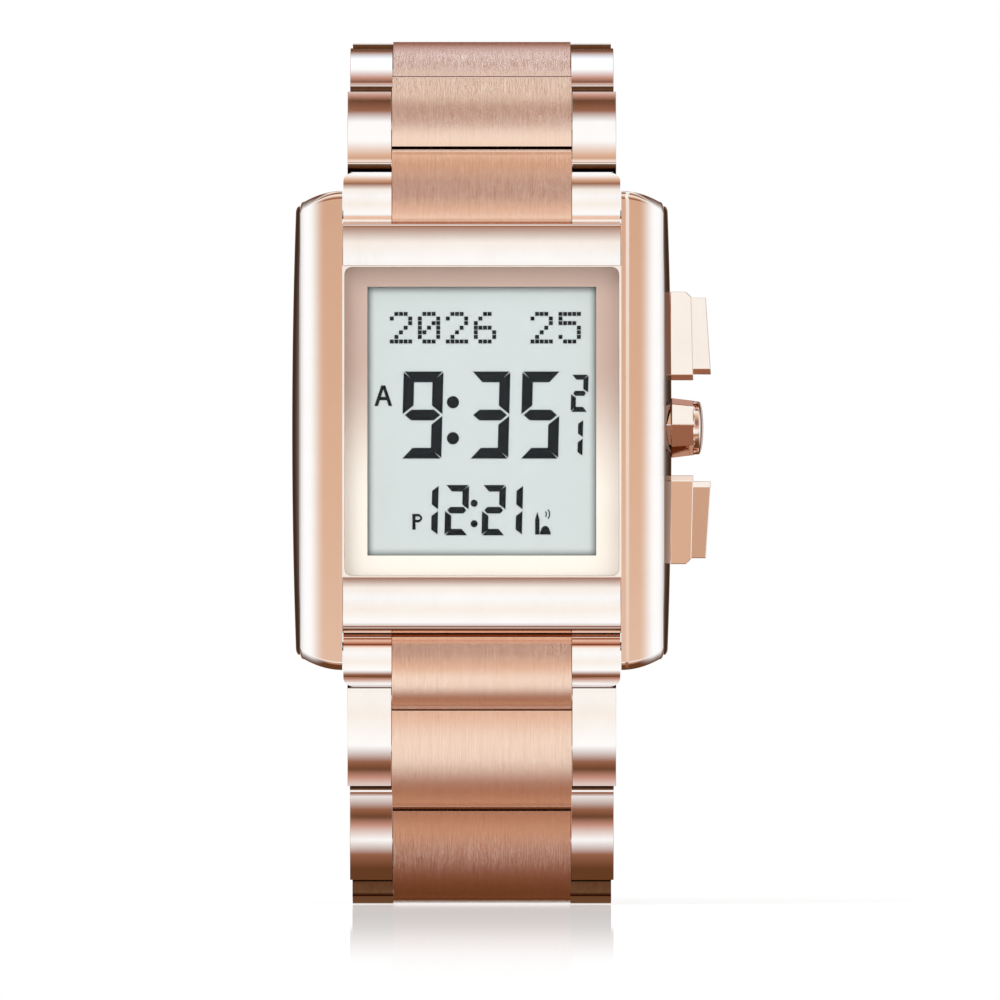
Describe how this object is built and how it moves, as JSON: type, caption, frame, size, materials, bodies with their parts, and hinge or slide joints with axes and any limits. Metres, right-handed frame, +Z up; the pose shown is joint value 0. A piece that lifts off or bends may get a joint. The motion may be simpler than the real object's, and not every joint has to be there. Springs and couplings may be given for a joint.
{
  "type": "digital wristwatch",
  "caption": "Rectangular digital wristwatch with side pushers on a steel link bracelet with a folding clasp, closed to a ring and standing on its links.",
  "frame": {"origin": "middle of the footprint, on the surface that the closed bracelet stands on", "axes": "+Z up along the case from six to twelve o'clock, -Y out of the dial, +X towards the crown side"},
  "size_m": [0.0392, 0.0528, 0.0811],
  "materials": {
    "polished_rose_steel": "rose-gold plated steel, polished",
    "brushed_rose_steel": "rose-gold plated steel, brushed along the bracelet",
    "plain_steel": "plain stainless steel",
    "crystal_glass": "flat mineral glass",
    "mirror_frame": "metallised frame behind the glass",
    "lcd_glass": "reflective liquid crystal panel",
    "reflector_film": "white reflector film",
    "black_rubber": "nitrile and silicone rubber",
    "module_plastic": "moulded black plastic",
    "board_laminate": "green glass-fibre laminate",
    "sounder_brass": "brass disc with ceramic layer"
  },
  "bodies": {
    "case": {"mid_case": "polished_rose_steel", "crystal": "crystal_glass", "display_mask": "mirror_frame", "crystal_gasket": "black_rubber", "lcd_panel": "lcd_glass", "lcd_reflector": "reflector_film", "lower_contact_strip": "black_rubber", "upper_contact_strip": "black_rubber", "module_frame": "module_plastic", "circuit_board": "board_laminate", "battery": "plain_steel", "battery_clip": "plain_steel", "sounder_disc": "sounder_brass", "back_gasket": "black_rubber", "case_back": "plain_steel", "back_screw_1": "plain_steel", "back_screw_2": "plain_steel", "back_screw_3": "plain_steel", "back_screw_4": "plain_steel", "upper_spring_bar": "plain_steel", "lower_spring_bar": "plain_steel", "upper_pusher_guard": "polished_rose_steel", "lower_pusher_guard": "polished_rose_steel"},
    "upper_pusher": {"upper_pusher": "polished_rose_steel"},
    "lower_pusher": {"lower_pusher": "polished_rose_steel"},
    "crown_button": {"crown_button": "polished_rose_steel"},
    "upper_end_link": {"upper_end_link": "polished_rose_steel"},
    "upper_link_1": {"upper_link_1_sides": "polished_rose_steel", "upper_link_1_center": "brushed_rose_steel"},
    "upper_link_2": {"upper_link_2_sides": "polished_rose_steel", "upper_link_2_center": "brushed_rose_steel"},
    "upper_link_3": {"upper_link_3_sides": "polished_rose_steel", "upper_link_3_center": "brushed_rose_steel"},
    "upper_link_4": {"upper_link_4_sides": "polished_rose_steel", "upper_link_4_center": "brushed_rose_steel"},
    "upper_link_5": {"upper_link_5_sides": "polished_rose_steel", "upper_link_5_center": "brushed_rose_steel"},
    "upper_link_6": {"upper_link_6_sides": "polished_rose_steel", "upper_link_6_center": "brushed_rose_steel"},
    "lower_end_link": {"lower_end_link": "polished_rose_steel"},
    "lower_link_1": {"lower_link_1_sides": "polished_rose_steel", "lower_link_1_center": "brushed_rose_steel"},
    "lower_link_2": {"lower_link_2_sides": "polished_rose_steel", "lower_link_2_center": "brushed_rose_steel"},
    "lower_link_3": {"lower_link_3_sides": "polished_rose_steel", "lower_link_3_center": "brushed_rose_steel"},
    "lower_link_4": {"lower_link_4_sides": "polished_rose_steel", "lower_link_4_center": "brushed_rose_steel"},
    "lower_link_5": {"lower_link_5_sides": "polished_rose_steel", "lower_link_5_center": "brushed_rose_steel"},
    "lower_link_6": {"lower_link_6_sides": "polished_rose_steel", "lower_link_6_center": "brushed_rose_steel"},
    "lower_link_7": {"lower_link_7_sides": "polished_rose_steel", "lower_link_7_center": "brushed_rose_steel"},
    "clasp_cover": {"clasp_cover": "brushed_rose_steel", "clasp_end_bar": "plain_steel"},
    "clasp_middle_blade": {"clasp_middle_blade": "plain_steel"},
    "clasp_bottom_blade": {"clasp_bottom_blade": "plain_steel"},
    "clasp_button_right": {"clasp_button_right": "polished_rose_steel"},
    "clasp_button_left": {"clasp_button_left": "polished_rose_steel"}
  },
  "joints": [
    {"name": "upper_pusher_press", "type": "slide", "parent": "case", "child": "upper_pusher", "axis": [-1, 0, 0], "range_m": [0, 0.0008], "stiffness_N_per_m": 1200, "springref_m": -0.0004},
    {"name": "lower_pusher_press", "type": "slide", "parent": "case", "child": "lower_pusher", "axis": [-1, 0, 0], "range_m": [0, 0.0008], "stiffness_N_per_m": 1200, "springref_m": -0.0004},
    {"name": "crown_button_press", "type": "slide", "parent": "case", "child": "crown_button", "axis": [-1, 0, 0], "range_m": [0, 0.0008], "stiffness_N_per_m": 1200, "springref_m": -0.0004},
    {"name": "upper_end_link_turn", "type": "hinge", "parent": "case", "child": "upper_end_link", "pos_m": [-0.00187, -0.02154, 0.06462], "axis": [-1, 0, 0], "range_deg": [-12, 0]},
    {"name": "upper_link_1_bend", "type": "hinge", "parent": "upper_end_link", "child": "upper_link_1", "pos_m": [-0.00187, -0.02054, 0.06931], "axis": [-1, 0, 0], "range_deg": [-31.49, 0]},
    {"name": "upper_link_2_bend", "type": "hinge", "parent": "upper_link_1", "child": "upper_link_2", "pos_m": [-0.00187, -0.01421, 0.07599], "axis": [-1, 0, 0], "range_deg": [-24.49, 0]},
    {"name": "upper_link_3_bend", "type": "hinge", "parent": "upper_link_2", "child": "upper_link_3", "pos_m": [-0.00187, -0.00568, 0.07944], "axis": [-1, 0, 0], "range_deg": [-25.99, 0]},
    {"name": "upper_link_4_bend", "type": "hinge", "parent": "upper_link_3", "child": "upper_link_4", "pos_m": [-0.00187, 0.0035, 0.0788], "axis": [-1, 0, 0], "range_deg": [-24.49, 0]},
    {"name": "upper_link_5_bend", "type": "hinge", "parent": "upper_link_4", "child": "upper_link_5", "pos_m": [-0.00187, 0.01158, 0.07442], "axis": [-1, 0, 0], "range_deg": [-23.49, 0]},
    {"name": "upper_link_6_bend", "type": "hinge", "parent": "upper_link_5", "child": "upper_link_6", "pos_m": [-0.00187, 0.01725, 0.06717], "axis": [-1, 0, 0], "range_deg": [-23.39, 0]},
    {"name": "lower_end_link_turn", "type": "hinge", "parent": "case", "child": "lower_end_link", "pos_m": [-0.00187, -0.02154, 0.02422], "axis": [1, 0, 0], "range_deg": [-2, 0]},
    {"name": "lower_link_1_bend", "type": "hinge", "parent": "lower_end_link", "child": "lower_link_1", "pos_m": [-0.00187, -0.02137, 0.01942], "axis": [1, 0, 0], "range_deg": [-6, 0]},
    {"name": "lower_link_2_bend", "type": "hinge", "parent": "lower_link_1", "child": "lower_link_2", "pos_m": [-0.00187, -0.02009, 0.01031], "axis": [1, 0, 0], "range_deg": [-17, 0]},
    {"name": "lower_link_3_bend", "type": "hinge", "parent": "lower_link_2", "child": "lower_link_3", "pos_m": [-0.00187, -0.0162, 0.00197], "axis": [1, 0, 0], "range_deg": [-63, 0]},
    {"name": "lower_link_4_bend", "type": "hinge", "parent": "lower_link_3", "child": "lower_link_4", "pos_m": [-0.00187, -0.00701, 0.00165], "axis": [1, 0, 0], "range_deg": [-6, 0]},
    {"name": "lower_link_5_bend", "type": "hinge", "parent": "lower_link_4", "child": "lower_link_5", "pos_m": [-0.00187, 0.00217, 0.0023], "axis": [1, 0, 0], "range_deg": [-8, 0]},
    {"name": "lower_link_6_bend", "type": "hinge", "parent": "lower_link_5", "child": "lower_link_6", "pos_m": [-0.00187, 0.01117, 0.00421], "axis": [1, 0, 0], "range_deg": [-29.2, 0]},
    {"name": "lower_link_7_bend", "type": "hinge", "parent": "lower_link_6", "child": "lower_link_7", "pos_m": [-0.00187, 0.01809, 0.01027], "axis": [1, 0, 0], "range_deg": [-33.3, 0]},
    {"name": "clasp_end_turn", "type": "hinge", "parent": "upper_link_6", "child": "clasp_cover", "pos_m": [-0.00187, 0.01958, 0.05827], "axis": [-1, 0, 0], "range_deg": [-11.66, 0]},
    {"name": "clasp_outer_fold", "type": "hinge", "parent": "clasp_cover", "child": "clasp_middle_blade", "pos_m": [-0.00187, 0.02175, 0.02135], "axis": [-1, 0, 0], "range_deg": [-25, 0]},
    {"name": "clasp_inner_fold", "type": "hinge", "parent": "clasp_middle_blade", "child": "clasp_bottom_blade", "pos_m": [-0.00187, 0.02077, 0.05487], "axis": [1, 0, 0], "range_deg": [-50, 0]},
    {"name": "clasp_button_right_press", "type": "slide", "parent": "clasp_cover", "child": "clasp_button_right", "axis": [-1, 0, 0], "range_m": [0, 0.0005], "stiffness_N_per_m": 1200, "springref_m": -0.0003},
    {"name": "clasp_button_left_press", "type": "slide", "parent": "clasp_cover", "child": "clasp_button_left", "axis": [1, 0, 0], "range_m": [0, 0.0005], "stiffness_N_per_m": 1200, "springref_m": -0.0003}
  ],
  "couplings": [
    {"joint": "clasp_outer_fold", "follows": "clasp_inner_fold", "ratio": 0.5}
  ]
}
